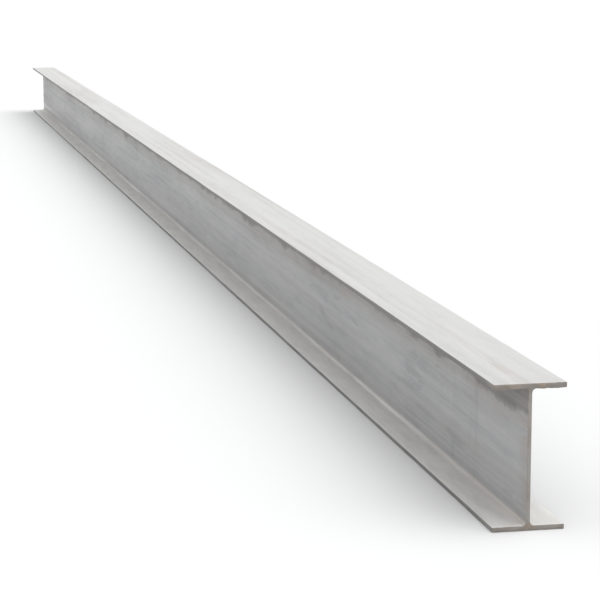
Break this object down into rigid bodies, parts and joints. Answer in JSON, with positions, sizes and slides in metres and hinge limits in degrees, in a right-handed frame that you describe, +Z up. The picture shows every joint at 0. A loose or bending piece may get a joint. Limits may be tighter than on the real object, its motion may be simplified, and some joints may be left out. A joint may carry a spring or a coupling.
{
  "type": "steel h-beam",
  "caption": "Straight length of hot-rolled steel H-section stock: parallel flanges joined by an upright web with rounded roots, sawn square at both ends, for columns, lintels and frames.",
  "frame": {"origin": "middle of the lower flange's underside, at half of the beam's length", "axes": "+Z up the web, +Y along the beam's length, +X across the flanges"},
  "size_m": [0.125, 9, 0.25],
  "materials": {
    "mill_steel": "matte"
  },
  "bodies": {
    "root": {"h_beam": "mill_steel"}
  },
  "joints": []
}
